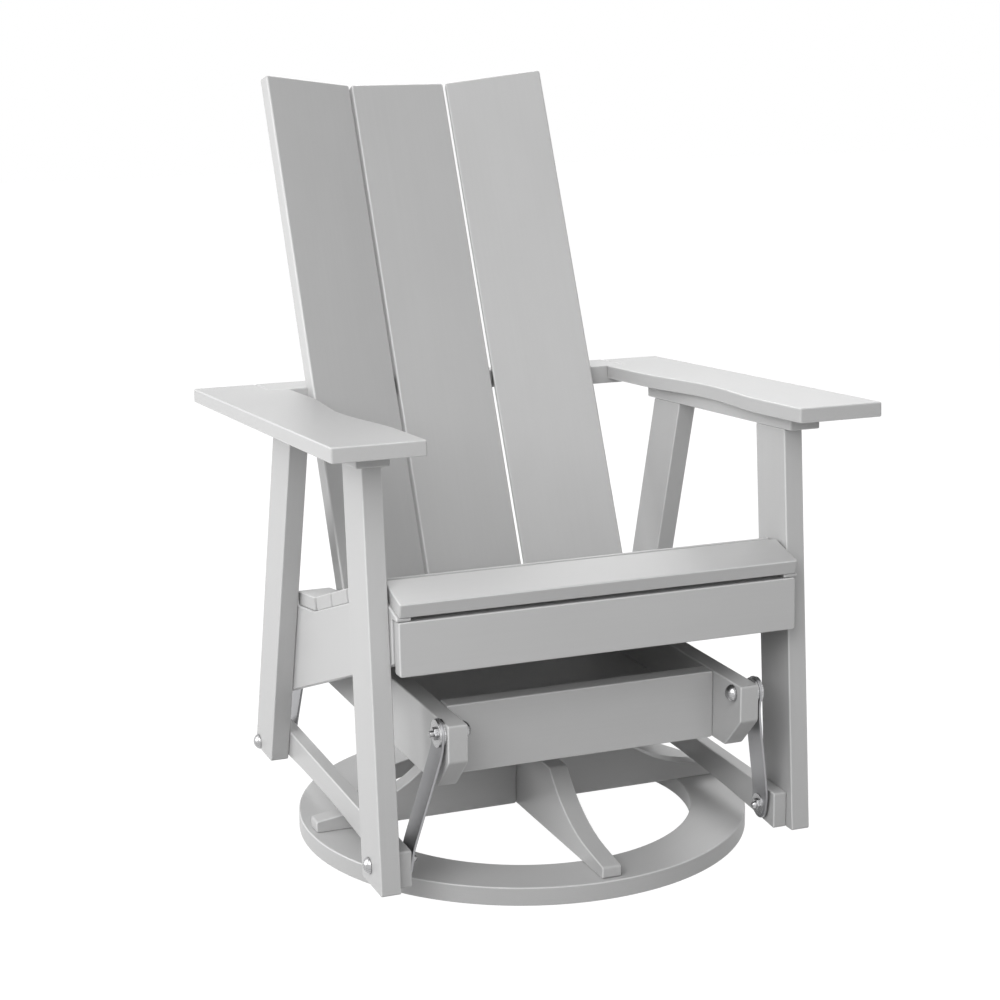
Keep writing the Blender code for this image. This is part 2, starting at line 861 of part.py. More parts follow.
def stretcher_outline():
    """Low board between the legs with a shallow arch below."""
    front_y = front_leg_bottom_y + stretcher_front_inset
    bend = (stretcher_crown_height - stretcher_front_bottom) / (stretcher_crown_y - front_y) ** 2

    def arch(y):
        return stretcher_crown_height - bend * (y - stretcher_crown_y) ** 2

    low_rear = rear_leg_edge_y(rear_leg_bottom, stretcher_rear_inset)
    high_rear = rear_leg_edge_y(stretcher_rear_top, stretcher_rear_inset)
    count = arc_steps
    steps = [front_y + (low_rear - front_y) * step / count for step in range(count + 1)]
    under = [(y, arch(y)) for y in steps]
    return [*under, (high_rear, stretcher_rear_top), (front_y, stretcher_front_top)]


def add_stretchers():
    for side, sign in sides.items():
        offset = sign * (rail_outer - thin_board / 2)
        item = plank("stretcher_" + side, [stretcher_outline()], thin_board, side_view, offset, glide_frame)
        cut(item, front_lower_bore)
        cut(item, rear_lower_bore)


# Arms

def fan_front_y(x, z):
    """Front face of the back slats at a place across the chair and a height."""
    bend_x = back_slat_width / 2 + back_slat_gap / 2
    outward = max(0.0, abs(x) - bend_x)
    return back_face_y(z) - outward * math.tan(back_fan) / math.cos(back_lean)


def fan_outer_x():
    """Outermost reach of the back slats."""
    inner = back_slat_width / 2 + back_slat_gap
    return inner + back_slat_width * math.cos(back_fan) + thin_board * math.sin(back_fan)


def fan_at_arm(x):
    """Where the front of the back slats meets the plane of the arms' top."""
    lean = math.tan(back_lean)
    slope = math.tan(arm_slope)
    return fan_front_y(x, arm_top_at(0)) / (1 + lean * slope)


def arm_notch_y():
    """Front edge of the notch behind the arms that holds the upper brace."""
    return fan_at_arm(fan_outer_x()) + arm_notch_step


def arm_matrix(middle_below):
    """Plane of a board that lies on the arms' slope, drawn in plan from the arm's front."""
    tilt = Matrix.Rotation(-arm_slope, 4, "X")
    origin = Vector((0, arm_front_y, arm_front_height))
    down = tilt @ Vector((0, 0, -middle_below))
    return Matrix.Translation(origin + down) @ tilt


def along_slope(y):
    """Plan distance from the arm's front, measured along the slope."""
    return (y - arm_front_y) / math.cos(arm_slope)


def arm_outline(sign):
    """Arm in plan: straight outer edge, hollow waist inside, notch for the brace behind."""
    front = along_slope(arm_front_y)
    rear = along_slope(arm_rear_y)
    notch = along_slope(arm_notch_y())
    waist_start = along_slope(arm_waist_front_y)
    waist_end = along_slope(arm_waist_rear_y)
    inner = [(arm_inner_half_width, front)]
    for step in range(2 * arc_steps + 1):
        share = step / (2 * arc_steps)
        depth = arm_waist_depth * math.sin(math.pi * share) ** 2
        inner.append((arm_inner_half_width + depth, waist_start + (waist_end - waist_start) * share))
    inner.append((arm_inner_half_width, notch))
    inner.append((rail_outer + 2 * touch_gap, notch))
    inner.append((rail_outer + 2 * touch_gap, rear))
    outline = [*inner, (arm_outer_half_width, rear), (arm_outer_half_width, front)]
    return [(sign * x, y) for x, y in outline]


def sloped_board(name, outline, thickness, below):
    """Board lying on the arms' slope, its top face this far below the arms' top."""
    mesh = prism_mesh(name, [outline], thickness)
    item = add_piece(name, mesh, arm_matrix(below + thickness / 2), glide_frame, lumber(name))
    soften(item)
    return item


def add_arms():
    for side, sign in sides.items():
        sloped_board("arm_" + side, arm_outline(sign), thin_board, 0)
        support = rectangle(support_inner_half_width, support_outer_half_width,
                            along_slope(support_front_y), along_slope(support_rear_y))
        support = [(sign * x, y) for x, y in support]
        sloped_board("arm_support_" + side, support, thin_board, thin_board + touch_gap)


# Seat

def nose_corner():
    """Rear top corner of the nose slat."""
    return nose_rear_y, seat_height


def slat_start(index):
    """Top front corner of a seat slat on the slope, counted from the nose."""
    along = index * (seat_slat_width + slat_gap)
    return (nose_rear_y + first_slat_gap + along * math.cos(seat_slope),
            seat_height - first_slat_drop - along * math.sin(seat_slope))


def rear_slat_start():
    return slat_start(plain_slat_count)


def nose_section():
    corner = Vector(nose_corner())
    back = Vector((-math.cos(nose_slope), -math.sin(nose_slope))) * nose_slat_width
    return tilted_rectangle(tuple(corner + back), nose_slope, nose_slat_width, thin_board)


def rear_slat_outline():
    """Rear slat in its own plane: straight front, rear edge cut to the fan, a horn at each end."""
    start_y, start_z = rear_slat_start()
    cosine = math.cos(rear_slat_slope)
    underside = thin_board / cosine

    def depth(x):
        level = start_z - underside - (fan_front_y(x, start_z) - start_y) * math.tan(rear_slat_slope)
        return (fan_front_y(x, level) - rear_slat_gap - start_y) / cosine

    bend_x = back_slat_width / 2 + back_slat_gap / 2
    horn_inner = fan_outer_x() + 2 * rear_slat_gap
    half = [(seat_half_width, 0), (seat_half_width, rear_slat_end_depth), (horn_inner, rear_slat_end_depth),
            (horn_inner, depth(horn_inner)), (bend_x, depth(bend_x))]
    mirrored = [(-x, v) for x, v in reversed(half)]
    return half + mirrored


def add_seat():
    long_board("nose_slat", nose_section(), seat_half_width, glide_frame)
    for index in range(plain_slat_count):
        section = tilted_rectangle(slat_start(index), -seat_slope, seat_slat_width, thin_board)
        long_board("seat_slat_" + str(index + 1), section, seat_half_width, glide_frame)
    start_y, start_z = rear_slat_start()
    mesh = prism_mesh("seat_slat_rear", [rear_slat_outline()], thin_board)
    tilt = Matrix.Rotation(-rear_slat_slope, 4, "X")
    middle = Matrix.Translation((0, 0, -thin_board / 2))
    matrix = Matrix.Translation((0, start_y, start_z)) @ tilt @ middle
    item = add_piece("seat_slat_rear", mesh, matrix, glide_frame, lumber("seat_slat_rear"))
    soften(item)


def apron_section():
    """Apron leaning back a little, seen from the side."""
    lean = Vector((math.sin(apron_lean), math.cos(apron_lean)))
    inward = Vector((math.cos(apron_lean), -math.sin(apron_lean)))
    foot = Vector((apron_front_y, apron_bottom))
    top = foot + lean * apron_height
    return [tuple(foot), tuple(foot + inward * thin_board), tuple(top + inward * thin_board), tuple(top)]


def underside_line(corner, fall):
    """Height at y = 0 and fall per length of the line under boards whose top passes a corner."""
    drop = (thin_board + touch_gap) / math.cos(fall)
    return corner[1] - drop + corner[0] * math.tan(fall), math.tan(fall)


def meeting(one, two):
    """Point where two falling lines cross."""
    y = (one[0] - two[0]) / (one[1] - two[1])
    return y, one[0] - one[1] * y


def rail_outline():
    """Side rail: nose over the apron, crest, seat slope, rear end along the rear leg."""
    foot_front, foot_rear, top_rear, top_front = apron_section()
    nose_y = top_front[0]
    step_height = top_front[1] + touch_gap

    def behind_apron(z):
        return foot_rear[0] + (z - foot_rear[1]) * math.tan(apron_lean) + 2 * touch_gap

    nose_line = underside_line(nose_corner(), -nose_slope)
    slat_line = underside_line(slat_start(0), seat_slope)
    rear_line = underside_line(rear_slat_start(), rear_slat_slope)
    low_start = behind_apron(rail_front_bottom)
    low_fall = math.tan(rail_bottom_slope)
    low_line = (rail_front_bottom + low_start * low_fall, low_fall)
    edge_fall = -1 / rear_leg_lean
    edge_line = (rear_leg_bottom + rear_leg_edge_y(rear_leg_bottom, rail_rear_inset) * edge_fall, edge_fall)
    return [(nose_y, step_height), (behind_apron(step_height), step_height),
            (low_start, rail_front_bottom), meeting(low_line, edge_line), meeting(rear_line, edge_line),
            meeting(slat_line, rear_line), meeting(nose_line, slat_line),
            (nose_y, nose_line[0] - nose_line[1] * nose_y)]


def add_rails():
    long_board("apron", apron_section(), seat_half_width, glide_frame)
    for side, sign in sides.items():
        offset = sign * (rail_outer - thin_board / 2)
        plank("seat_rail_" + side, [rail_outline()], thin_board, side_view, offset, glide_frame)


# Back

def slat_matrix(fan):
    """Frame of a back slat's face: local X across, local Y up the slat, local Z out of its front.

    A fan of zero is the middle slat. The others turn about their inner front edge.
    """
    lean = Matrix.Rotation(math.pi / 2 - back_lean, 4, "X")
    foot = Matrix.Translation((0, back_foot_y, back_foot_height))
    if fan == 0:
        return foot @ lean
    sign = 1 if fan > 0 else -1
    hinge = Matrix.Translation((sign * (back_slat_width / 2 + back_slat_gap), 0, 0))
    turn = Matrix.Rotation(-fan, 4, "Y")
    shift = Matrix.Translation((sign * back_slat_width / 2, 0, 0))
    return foot @ lean @ hinge @ turn @ shift


def back_slat_mesh(name, grow):
    """Back slat above its foot, behind its front face, grown on every side by a clearance."""
    half = back_slat_width / 2 + grow
    outline = rectangle(-half, half, -grow, back_slat_length + grow)
    return prism_mesh(name, [outline], thin_board + 2 * grow)


fan_angles = {"left": -back_fan, "middle": 0, "right": back_fan}


def add_back_slats():
    slat_cutters = []
    for place_name, fan in fan_angles.items():
        name = "back_slat_" + place_name
        matrix = slat_matrix(fan) @ Matrix.Translation((0, 0, -thin_board / 2))
        item = add_piece(name, back_slat_mesh(name, 0), matrix, glide_frame, lumber(name))
        soften(item)
        grown = back_slat_mesh(name + "_space", touch_gap)
        slat_cutters.append(as_cutter(name + "_space", grown, matrix))
    return slat_cutters


def brace_plan(half_length, outer_front, rear, height):
    """Brace in plan: rear edge straight, front edge hollowed by the fan of the back."""
    bend_x = back_slat_width / 2
    middle_front = back_face_y(height) + thin_board / 2
    fan_x = fan_outer_x() - thin_board
    fan_front = fan_front_y(fan_x, height) + thin_board / 2
    half = [(half_length, rear), (half_length, outer_front), (fan_x, fan_front), (bend_x, middle_front)]
    mirrored = [(-x, y) for x, y in reversed(half)]
    return mirrored + half


def add_braces(slat_cutters):
    upper_front = arm_notch_y()
    upper_rear = fan_at_arm(0) + upper_brace_depth
    plan = brace_plan(rail_outer, upper_front + touch_gap, upper_rear, arm_top_at(upper_front))
    plan = [(x, along_slope(y)) for x, y in plan]
    upper = sloped_board("back_brace_upper", plan, thick_board, 0)
    lower_half = rail_inner - touch_gap
    lower_front = fan_front_y(fan_outer_x(), lower_brace_top) + lower_brace_step
    lower_rear = back_face_y(lower_brace_top) + lower_brace_depth
    plan = brace_plan(lower_half, lower_front, lower_rear, lower_brace_top)
    lower_middle = lower_brace_top - thick_board / 2
    lower = plank("back_brace_lower", [plan], thick_board, top_view, lower_middle, glide_frame)
    for brace in (upper, lower):
        for cutter in slat_cutters:
            cut(brace, cutter)


def build():
    add_base()
    add_swivel()
    add_glider_box()
    add_links()
    add_upper_hardware()
    add_legs()
    add_stretchers()
    add_lower_hardware()
    add_rails()
    add_seat()
    add_arms()
    slat_cutters = add_back_slats()
    add_braces(slat_cutters)


build()
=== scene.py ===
"""Looks of the swivel glider chair.

The boards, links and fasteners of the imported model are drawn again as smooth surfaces, from the model's
own sections, places and sizes. Every surface gets its finish, and the chair stands in a pale studio.
Lengths are in metres.
"""

import json
import math

import bmesh
import bpy
import numpy as np
from mathutils import Matrix, Vector
from mathutils.geometry import tessellate_polygon


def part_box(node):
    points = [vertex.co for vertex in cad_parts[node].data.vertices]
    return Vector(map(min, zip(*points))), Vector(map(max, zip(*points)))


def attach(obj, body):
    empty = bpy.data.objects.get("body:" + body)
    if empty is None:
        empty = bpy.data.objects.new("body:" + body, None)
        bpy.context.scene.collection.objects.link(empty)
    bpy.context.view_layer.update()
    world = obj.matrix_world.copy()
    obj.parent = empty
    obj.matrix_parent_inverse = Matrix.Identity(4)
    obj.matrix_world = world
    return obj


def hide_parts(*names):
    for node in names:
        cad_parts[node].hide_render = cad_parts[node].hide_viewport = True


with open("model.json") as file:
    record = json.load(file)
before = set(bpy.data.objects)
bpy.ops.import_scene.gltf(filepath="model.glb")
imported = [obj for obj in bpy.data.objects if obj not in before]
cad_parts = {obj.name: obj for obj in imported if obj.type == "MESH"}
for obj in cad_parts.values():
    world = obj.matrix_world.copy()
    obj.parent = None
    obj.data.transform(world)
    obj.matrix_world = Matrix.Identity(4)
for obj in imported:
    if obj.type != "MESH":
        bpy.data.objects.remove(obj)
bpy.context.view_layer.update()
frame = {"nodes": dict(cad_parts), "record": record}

# Boards
scatter_seed = 7
pattern_shift = 5.0
edge_rounding = 0.0020
back_slat_rounding = 0.0030
bore_rounding = 0.0005
bore_most_points = 100
rounding_steps = 5
corner_ease = 0.0012
sharp_turn = math.radians(18)
long_side = 0.008
least_turn = math.radians(0.4)
least_side = 0.00003
seam_gap = least_side / 10
bevel_angle = math.radians(35)

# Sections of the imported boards
least_area = 1e-12
same_facing = 0.9999
square_facing = 0.01
section_share = 0.25
circle_radius_spread = 0.02
circle_side_spread = 0.1
circle_refinement = 3

# Fasteners
turned_steps = 48
dome_steps = 12
upper_washer_radius = 0.0180
upper_washer_thickness = 0.0028
head_washer_radius = 0.0116
head_washer_thickness = 0.0024
lower_washer_radius = 0.0150
lower_washer_thickness = 0.0018
spacer_radius = 0.0178
shank_radius = 0.0040
shank_chamfer = 0.0007
packed_head_height = 0.0066
head_radius = 0.0112
head_rim = 0.0010
head_height = 0.0082
nut_radius = 0.0085
nut_height = 0.0036
nut_face_share = 0.97
nut_chamfer_slope = math.tan(math.radians(30))
stud_length = 0.0045
cap_radius = 0.0052
cap_height = 0.0060
metal_rounding = 0.0003
metal_rounding_steps = 2

# Links
strap_thickness = 0.0034
strap_width = 0.038
strap_rounding = 0.0008
strap_rounding_steps = 3
strap_bore = 0.0072
bend_softness = 0.06
top_flat = 0.0235
bottom_flat = 0.0150
eye_reach = 0.022
eye_rows = 5
strap_rows = 40
strap_columns = 10
eye_side_steps = 5
eye_round_steps = 28

# Camera at the photograph's view
camera_azimuth = math.radians(21.599)
camera_elevation = math.radians(12.942)
camera_roll = math.radians(-0.406)
camera_distance = 2.96874
camera_aim_right = -0.02819
camera_aim_height = 0.46506
sensor_width = 36.0
focal_share = 2.14142

# Studio
world_light = 0.28
floor_reach = 12.0
floor_gap = 0.0005
floor_grey = 0.38
floor_glow = 1.37
glow_share = 0.72
lamp_size = 2.2
lamp_aim = (0, 0, 0.5)
lamps = {
    "rear_top_lamp": ((1.19, 2.02, 2.37), 44),
    "left_front_lamp": ((-1.78, -1.78, 2.13), 59),
    "front_lamp": ((0.29, -2.90, 1.22), 15),
    "left_lamp": ((-2.78, 0.88, 1.23), 55),
}

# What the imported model's record says of its nodes and joints
record = frame["record"]
body_of_node = {node: body for body, nodes in record["behaviour"]["bodies"].items() for node in nodes}
slot_of_node = {part["node"]: part["material_slot"] for part in record["subparts"]}
joint_place = {joint["name"]: np.array(joint["pos_m"]) for joint in record["behaviour"]["joints"]}
scatter = np.random.default_rng(scatter_seed)


# Meshes from whole arrays

def add_piece(name, points, faces, features):
    """Smooth mesh object from arrays of points, faces and named point features."""
    mesh = bpy.data.meshes.new(name)
    mesh.from_pydata(points.tolist(), [], faces)
    mesh.shade_smooth()
    for feature, values in features.items():
        is_vector = values.ndim == 2
        layer = mesh.attributes.new(feature, "FLOAT_VECTOR" if is_vector else "FLOAT", "POINT")
        layer.data.foreach_set("vector" if is_vector else "value", values.ravel())
    piece = bpy.data.objects.new(name, mesh)
    bpy.context.scene.collection.objects.link(piece)
    return piece


def merge_seams(piece):
    """Join points that lie in one place and turn every face outwards."""
    work = bmesh.new()
    work.from_mesh(piece.data)
    bmesh.ops.remove_doubles(work, verts=work.verts, dist=seam_gap)
    bmesh.ops.recalc_face_normals(work, faces=work.faces)
    work.to_mesh(piece.data)
    work.free()


def round_edges(piece, width, segments):
    """Bevel the piece's edges and keep its flat faces flat in the shading."""
    bevel = piece.modifiers.new("rounded_edges", "BEVEL")
    bevel.width = width
    bevel.segments = segments
    bevel.limit_method = "ANGLE"
    bevel.angle_limit = bevel_angle
    bevel.harden_normals = True


def stand_for(piece, node, finish):
    """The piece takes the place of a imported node, on its body and in its material slot."""
    piece.data.materials.append(finish)
    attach(piece, body_of_node[node])
    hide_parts(node)


def grid_faces(rows, columns):
    """Quads of a grid of rows and columns that closes round on its columns, row 0 below row 1."""
    row, column = np.meshgrid(np.arange(rows - 1), np.arange(columns), indexing="ij")
    after = (column + 1) % columns
    corners = (row * columns + column, row * columns + after, (row + 1) * columns + after,
               (row + 1) * columns + column)
    return np.stack(corners, axis=-1).reshape(-1, 4)


# Boards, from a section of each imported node

def node_triangles(node):
    """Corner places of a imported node's triangles, as triangle, corner, coordinate."""
    mesh = frame["nodes"][node].data
    mesh.calc_loop_triangles()
    places = np.empty(3 * len(mesh.vertices))
    mesh.vertices.foreach_get("co", places)
    corners = np.empty(3 * len(mesh.loop_triangles), dtype=np.int32)
    mesh.loop_triangles.foreach_get("vertices", corners)
    return places.reshape(-1, 3)[corners].reshape(-1, 3, 3)


def triangle_normals(triangles):
    """Unit normals and areas: half the cross product of two edges."""
    crossed = np.cross(triangles[:, 1] - triangles[:, 0], triangles[:, 2] - triangles[:, 0]) / 2
    areas = np.linalg.norm(crossed, axis=1)
    return crossed / np.maximum(areas, least_area)[:, None], areas


def board_axes(triangles):
    """Unit axes along, across and through a board.

    Through is the direction that most of the surface faces. Along is square to it and to the
    direction that most of the edges face.
    """
    normals, areas = triangle_normals(triangles)
    facing = (np.abs(normals @ normals.T) > same_facing) @ areas
    through = normals[np.argmax(facing)]
    edges = np.abs(normals @ through) < square_facing
    across = normals[edges][np.argmax(facing[edges])]
    along = np.cross(across, through)
    along /= np.linalg.norm(along)
    return along, np.cross(through, along), through


def turns(loop):
    """Angle by which a closed outline turns at each point, and the length to the next point."""
    arriving = loop - np.roll(loop, 1, axis=0)
    leaving = np.roll(loop, -1, axis=0) - loop
    cross = arriving[:, 0] * leaving[:, 1] - arriving[:, 1] * leaving[:, 0]
    return np.arctan2(cross, (arriving * leaving).sum(axis=1)), np.linalg.norm(leaving, axis=1)


def cleaned(loop):
    """Outline without points that repeat or lie on a straight side."""
    loop = loop[turns(loop)[1] > least_side]
    return loop[np.abs(turns(loop)[0]) > least_turn]


def board_section(triangles, along, across, through):
    """Outlines where a plane a quarter of the way through a board cuts it, the longest first.

    A quarter of the way in, the plane misses screws that run up the middle of the board. A cut
    triangle has one corner alone on its side of the plane, and its cut runs between the two edges at
    that corner, with the board on its left.
    """
    heights = triangles @ through
    level = section_share * heights.max() + (1 - section_share) * heights.min()
    above = heights > level
    count = above.sum(axis=1)
    crossing = (count > 0) & (count < 3)
    lone = np.argmax(above[crossing] == (count[crossing] == 1)[:, None], axis=1)
    order = (lone[:, None] + np.arange(3)) % 3
    corners = np.take_along_axis(triangles[crossing], order[:, :, None], axis=1)
    levels = np.take_along_axis(heights[crossing], order, axis=1)
    share = (level - levels[:, :1]) / (levels[:, 1:] - levels[:, :1])
    cuts = corners[:, :1] + (corners[:, 1:] - corners[:, :1]) * share[:, :, None]
    heading = np.cross(through, triangle_normals(corners)[0])
    backwards = ((cuts[:, 1] - cuts[:, 0]) * heading).sum(axis=1) < 0
    cuts[backwards] = cuts[backwards, ::-1]
    flat = np.stack((cuts @ along, cuts @ across), axis=-1)
    gaps = np.linalg.norm(flat[:, None, 1] - flat[None, :, 0], axis=-1)
    following = np.argmin(gaps, axis=1)
    loops = []
    waiting = set(range(len(flat)))
    while waiting:
        place = min(waiting)
        chain = []
        while place in waiting:
            waiting.remove(place)
            chain.append(place)
            place = int(following[place])
        loops.append(cleaned(cleaned(flat[chain, 0])))
    loops = [loop for loop in loops if len(loop) > 2]
    loops.sort(key=lambda loop: -turns(loop)[1].sum())
    return loops, (heights.max() + heights.min()) / 2, (heights.max() - heights.min()) / 2


def finer_circle(loop):
    """A round outline again with several times its points; any other outline as it is.

    Point k of n stands at the angle 2 * pi * k / n on the circle.
    """
    centre = loop.mean(axis=0)
    radii = np.linalg.norm(loop - centre, axis=1)
    angle, length = turns(loop)
    uneven_radii = np.ptp(radii) > circle_radius_spread * radii.mean()
    if uneven_radii or np.ptp(length) > circle_side_spread * length.mean():
        return loop
    way = np.sign(angle.sum())
    angles = way * np.linspace(0, 2 * math.pi, circle_refinement * len(loop), endpoint=False)
    return centre + radii.max() * np.stack((np.cos(angles), np.sin(angles)), axis=-1)


def eased(loop):
    """Outline whose sharp corners between long sides are cut back a little on both sides."""
    angle, length = turns(loop)
    sharp = (np.abs(angle) > sharp_turn) & (length > long_side) & (np.roll(length, 1) > long_side)
    before = np.roll(loop, 1, axis=0) - loop
    after = np.roll(loop, -1, axis=0) - loop
    before /= np.linalg.norm(before, axis=1)[:, None]
    after /= np.linalg.norm(after, axis=1)[:, None]
    ease = np.where(sharp, corner_ease, 0)[:, None]
    pairs = np.stack((loop + before * ease, loop + after * ease), axis=1)
    keep = np.stack((np.ones(len(loop), bool), sharp), axis=1)
    return pairs[keep]


def board_rings(loop, half, rounding):
    """One outline carried through the thickness along a rounded profile.

    At profile angle t a ring lies rounding * (1 - cos t) inside the outline, at the height
    half - rounding + rounding * sin t, and faces cos t outwards and sin t up. The same rings are
    mirrored below.
    """
    leaving = np.roll(loop, -1, axis=0) - loop
    length = np.linalg.norm(leaving, axis=1)[:, None]
    inward = np.stack((-leaving[:, 1], leaving[:, 0]), axis=1) / length
    inward_before = np.roll(inward, 1, axis=0)
    mitre = (inward + inward_before) / (1 + (inward * inward_before).sum(axis=1))[:, None]
    outward = -(inward * length + inward_before * np.roll(length, 1, axis=0))
    outward /= np.linalg.norm(outward, axis=1)[:, None]

    quarter = np.linspace(0, math.pi / 2, rounding_steps + 1)
    angle = np.concatenate((-quarter[::-1], quarter))
    side = np.sign(np.concatenate((-np.ones(len(quarter)), np.ones(len(quarter)))))
    inset = rounding * (1 - np.cos(angle))
    height = side * (half - rounding) + rounding * np.sin(angle)

    rows = len(angle)
    flat = loop[None] + inset[:, None, None] * mitre[None]
    place = np.dstack((flat, np.broadcast_to(height[:, None], flat.shape[:2])))
    facing = np.dstack((np.cos(angle)[:, None, None] * outward[None],
                        np.broadcast_to(np.sin(angle)[:, None], flat.shape[:2])))
    # Share of the rounded edge, greatest half way round it; the lumber finish paints a highlight there.
    rounded = np.broadcast_to(np.abs(np.sin(2 * angle))[:, None], flat.shape[:2])
    return place.reshape(-1, 3), facing.reshape(-1, 3), rounded.reshape(-1), rows


def cap_faces(loops, starts):
    """Triangles that fill the flat face between outlines, given the index of each one's first point."""
    index = np.concatenate([start + np.arange(len(loop)) for loop, start in zip(loops, starts)])
    return index[np.array(tessellate_polygon([[(u, v, 0) for u, v in loop] for loop in loops]))]


def draw_board(node, finish):
    """The node's board as a surface with rounded edges, its pattern running along the board."""
    triangles = node_triangles(node)
    axes = board_axes(triangles)
    loops, middle, half = board_section(triangles, *axes)
    loops = [eased(finer_circle(loop)) for loop in loops]
    outer = back_slat_rounding if node.startswith("back_slat") else edge_rounding
    is_bore = [loop is not loops[0] and len(loop) <= bore_most_points for loop in loops]
    rounding = [bore_rounding if bore else outer for bore in is_bore]
    made = [board_rings(loop, half, size) for loop, size in zip(loops, rounding)]
    starts = np.cumsum([0] + [len(part[0]) for part in made])
    local, facing, rounded = (np.concatenate([part[i] for part in made]) for i in range(3))
    rows = made[0][3]
    faces = [grid_faces(rows, len(loop)) + start for loop, start in zip(loops, starts)]
    below = [part[0][:len(loop), :2] for part, loop in zip(made, loops)]
    above_starts = [start + (rows - 1) * len(loop) for start, loop in zip(starts, loops)]
    faces = np.concatenate(faces).tolist()
    faces += cap_faces(below, starts).tolist()
    faces += cap_faces(below, above_starts).tolist()

    turn = np.array(axes)
    lift = np.array((0, 0, middle))
    sawn = np.clip(2 * np.abs(facing[:, 0]) - 1, 0, 1)
    shift = scatter.uniform(-pattern_shift, pattern_shift, 3)
    features = {"board_place": local + shift, "rounded_edge_highlight": rounded, "sawn_end": sawn}
    piece = add_piece(node + "_board", (local + lift) @ turn, faces, features)
    merge_seams(piece)
    piece.data.normals_split_custom_set_from_vertices((facing @ turn).tolist())
    stand_for(piece, node, finish)


# Finishes

class Signal:
    """A shader value. Arithmetic on it adds Math nodes to its tree."""

    def __init__(self, nodes, socket):
        self.nodes = nodes
        self.socket = socket

    def math(self, operation, first, second):
        """Add one Math node, on numbers or shader values."""
        return self.nodes.node("ShaderNodeMath", {"operation": operation}, {0: first, 1: second})

    def largest(self, other):
        return self.math("MAXIMUM", self, other)

    def __add__(self, other):
        return self.math("ADD", self, other)

    def __radd__(self, other):
        return self.math("ADD", other, self)

    def __sub__(self, other):
        return self.math("SUBTRACT", self, other)

    def __mul__(self, other):
        return self.math("MULTIPLY", self, other)

    def __rmul__(self, other):
        return self.math("MULTIPLY", other, self)


class Nodes:
    """The nodes of a material or world."""

    def __init__(self, owner):
        owner.use_nodes = True
        self.owner = owner
        self.tree = owner.node_tree

    def node(self, kind, settings, inputs, output=0):
        """Add a node: its settings first, then its sockets' values or links. Gives one output."""
        made = self.tree.nodes.new(kind)
        for name, value in settings.items():
            setattr(made, name, value)
        for name, value in inputs.items():
            if isinstance(value, Signal):
                self.tree.links.new(value.socket, made.inputs[name])
            else:
                made.inputs[name].default_value = value
        return Signal(self, made.outputs[output])

    def backdrop_rays(self):
        """1 for the camera's, mirrored and refracted rays, which see the white backdrop."""
        seen = [self.node("ShaderNodeLightPath", {}, {}, ray)
                for ray in ("Is Camera Ray", "Is Glossy Ray", "Is Transmission Ray")]
        return seen[0].largest(seen[1]).largest(seen[2])


class Finish(Nodes):
    """A material's nodes, round its Principled shader."""

    def __init__(self, name, **constants):
        super().__init__(bpy.data.materials.new(name))
        self.material = self.owner
        self.shader = self.tree.nodes["Principled BSDF"]
        for socket, value in constants.items():
            self.shader.inputs[socket.replace("_", " ")].default_value = value

    def feature(self, name, output):
        """A point feature of the piece: output Vector or Fac."""
        return self.node("ShaderNodeAttribute", {"attribute_name": name}, {}, output)

    def stretched(self, place, lengths):
        """A place counted in the given lengths along its three axes."""
        counts = tuple(1 / length for length in lengths)
        return self.node("ShaderNodeVectorMath", {"operation": "MULTIPLY"}, {0: place, 1: counts})

    def noise(self, place, lengths, detail):
        """Noise round zero whose lumps have the given lengths."""
        inputs = {"Vector": self.stretched(place, lengths), "Scale": 1.0, "Detail": detail}
        return self.node("ShaderNodeTexNoise", {}, inputs) - 0.5

    def blend(self, share, first, second):
        """Colour from the first to the second as the share goes from 0 to 1."""
        return self.node("ShaderNodeMix", {"data_type": "RGBA"}, {0: share, 6: first, 7: second}, 2)

    def raise_surface(self, height, distance):
        """Bump from a height counted in the given distance."""
        bump = self.node("ShaderNodeBump", {}, {"Strength": 1.0, "Distance": distance, "Height": height})
        self.drive("Normal", bump)

    def drive(self, socket, signal):
        """Link a shader value to one of the Principled shader's sockets."""
        self.tree.links.new(signal.socket, self.shader.inputs[socket])


def grey(level):
    """Colour of one level in red, green and blue."""
    return (level, level, level, 1)


def lumber_finish():
    """Satin pale grey plastic lumber: faint drawn streaks, cloudy tone, fine skin, matt sawn ends, painted
    highlights on the rounded edges.
    """
    finish = Finish("pale_grey_lumber", Specular_IOR_Level=0.32)
    place = finish.feature("board_place", "Vector")
    edge = finish.feature("rounded_edge_highlight", "Fac")
    sawn = finish.feature("sawn_end", "Fac")
    streaks = finish.noise(place, (0.35, 0.004, 0.004), 3.0)
    clouds = finish.noise(place, (0.22, 0.07, 0.07), 2.0)
    skin = finish.noise(place, (0.0016, 0.0009, 0.0009), 2.0)
    cut = finish.noise(place, (0.02, 0.03, 0.0007), 2.0)
    share = 0.5 + 0.3 * streaks + 0.6 * clouds - 0.25 * sawn
    face = finish.blend(share, grey(0.475), grey(0.535))
    # Painted highlight: the rounded edges are lightened towards pale grey, as if they caught the lamps.
    finish.drive("Base Color", finish.blend(0.7 * edge, face, grey(0.70)))
    finish.drive("Roughness", 0.37 + 0.10 * clouds + 0.06 * streaks - 0.16 * edge + 0.14 * sawn)
    finish.raise_surface(0.22 * skin + 0.08 * streaks + 0.5 * sawn * cut, 0.0004)
    return finish.material


